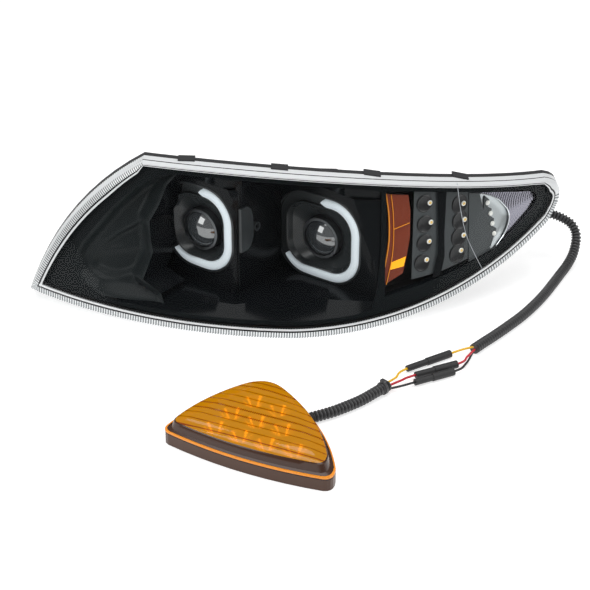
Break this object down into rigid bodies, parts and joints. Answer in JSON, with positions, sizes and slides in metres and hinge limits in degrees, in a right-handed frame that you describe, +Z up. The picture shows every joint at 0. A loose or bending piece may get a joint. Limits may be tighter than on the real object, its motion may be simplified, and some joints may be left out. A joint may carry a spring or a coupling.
{
  "type": "car headlight assembly",
  "caption": "Wrap-around LED headlight with aimable projectors, glowing guides, signal panels, rear service caps, a wired harness and a separate amber side lamp.",
  "frame": {"origin": "middle of the two foot holes, on the underside of the feet, where the lamp stands", "axes": "+X along the lamp from its inner tip to its rounded outer nose, +Z up, -Y out of the lens"},
  "size_m": [0.7708, 0.6056, 0.2125],
  "materials": {
    "clear_lens": "clear hard-coated polycarbonate, ribbed perimeter",
    "black_seal": "matt butyl seal",
    "housing_black": "fine-grained moulded polypropylene",
    "bezel_black": "satin to gloss black moulding",
    "amber_lens": "amber prismatic reflector",
    "panel_dark": "smoked grey moulding",
    "circuit_board": "solder-mask laminate",
    "amber_led": "amber LED",
    "white_led": "white LED",
    "satin_silver": "satin vacuum-metallised",
    "chrome_flute": "fluted vacuum-metallised reflector",
    "guide_white": "opal light guide",
    "projector_glass": "clear projector lens",
    "ring_metal": "satin ring",
    "dark_metal": "black coated",
    "bracket_metal": "zinc-plated",
    "heat_sink_metal": "die-cast",
    "screw_nylon": "natural nylon",
    "loom_black": "corrugated conduit",
    "wire_yellow": "PVC insulation",
    "wire_red": "PVC insulation",
    "wire_black": "PVC insulation",
    "sleeve_black": "soft sleeve",
    "amber_side_lens": "ribbed amber lens",
    "side_base": "dark base",
    "steel_screw": "zinc-plated screw"
  },
  "bodies": {
    "root": {"outer_lens": "clear_lens", "lens_seal": "black_seal", "rear_housing": "housing_black", "inner_bezel": "bezel_black", "amber_reflector": "amber_lens", "turn_panel": "panel_dark", "turn_board": "circuit_board", "turn_leds": "amber_led", "position_board": "circuit_board", "position_leds": "white_led", "corner_pocket": "satin_silver", "corner_reflector": "chrome_flute", "led_driver": "housing_black", "vent_caps": "black_seal", "cable_gland": "black_seal", "lens_clips": "housing_black", "guide_boards": "circuit_board", "loom_a": "loom_black", "loom_b": "loom_black", "wire_yellow": "wire_yellow", "wire_red": "wire_red", "wire_black": "wire_black", "bullet_yellow": "sleeve_black", "bullet_red": "sleeve_black", "bullet_black": "sleeve_black", "cable_tie": "loom_black", "side_lamp_housing": "side_base", "side_lamp_gasket": "black_seal", "side_lamp_lens": "amber_side_lens", "side_lamp_bowls": "chrome_flute", "side_lamp_board": "circuit_board", "side_lamp_leds": "amber_led", "side_lamp_screws": "steel_screw", "side_lamp_grommet": "black_seal", "guide_shroud_1": "bezel_black", "light_guide_1": "guide_white", "pivot_bracket_1": "bracket_metal", "guide_shroud_2": "bezel_black", "light_guide_2": "guide_white", "pivot_bracket_2": "bracket_metal"},
    "projector_1": {"carrier_1": "dark_metal", "projector_lens_1": "projector_glass", "lens_ring_1": "ring_metal", "projector_bowl_1": "dark_metal", "led_board_1": "circuit_board", "heat_sink_1": "heat_sink_metal"},
    "adjuster_1": {"adjuster_screw_1": "screw_nylon"},
    "cap_1": {"service_cap_1": "housing_black", "cap_seal_1": "black_seal"},
    "projector_2": {"carrier_2": "dark_metal", "projector_lens_2": "projector_glass", "lens_ring_2": "ring_metal", "projector_bowl_2": "dark_metal", "led_board_2": "circuit_board", "heat_sink_2": "heat_sink_metal"},
    "adjuster_2": {"adjuster_screw_2": "screw_nylon"},
    "cap_2": {"service_cap_2": "housing_black", "cap_seal_2": "black_seal"}
  },
  "joints": [
    {"name": "projector_1_aim", "type": "hinge", "parent": "root", "child": "projector_1", "pos_m": [-0.11154, -0.05235, 0.109], "axis": [0.809, -0.5878, 0], "range_deg": [-3, 3]},
    {"name": "adjuster_1_spin", "type": "hinge", "parent": "root", "child": "adjuster_1", "pos_m": [-0.128, -0.075, 0.067], "axis": [0.5878, 0.809, 0], "range_deg": [-180, 180]},
    {"name": "cap_1_twist", "type": "hinge", "parent": "root", "child": "cap_1", "pos_m": [-0.128, -0.075, 0.109], "axis": [0.5878, 0.809, 0], "range_deg": [0, 30]},
    {"name": "projector_2_aim", "type": "hinge", "parent": "root", "child": "projector_2", "pos_m": [0.04746, -0.04535, 0.093], "axis": [0.809, -0.5878, 0], "range_deg": [-3, 3]},
    {"name": "adjuster_2_spin", "type": "hinge", "parent": "root", "child": "adjuster_2", "pos_m": [0.031, -0.068, 0.051], "axis": [0.5878, 0.809, 0], "range_deg": [-180, 180]},
    {"name": "cap_2_twist", "type": "hinge", "parent": "root", "child": "cap_2", "pos_m": [0.031, -0.068, 0.093], "axis": [0.5878, 0.809, 0], "range_deg": [0, 30]}
  ],
  "couplings": [
    {"joint": "adjuster_1_spin", "follows": "projector_1_aim", "ratio": 60},
    {"joint": "adjuster_2_spin", "follows": "projector_2_aim", "ratio": 60}
  ]
}
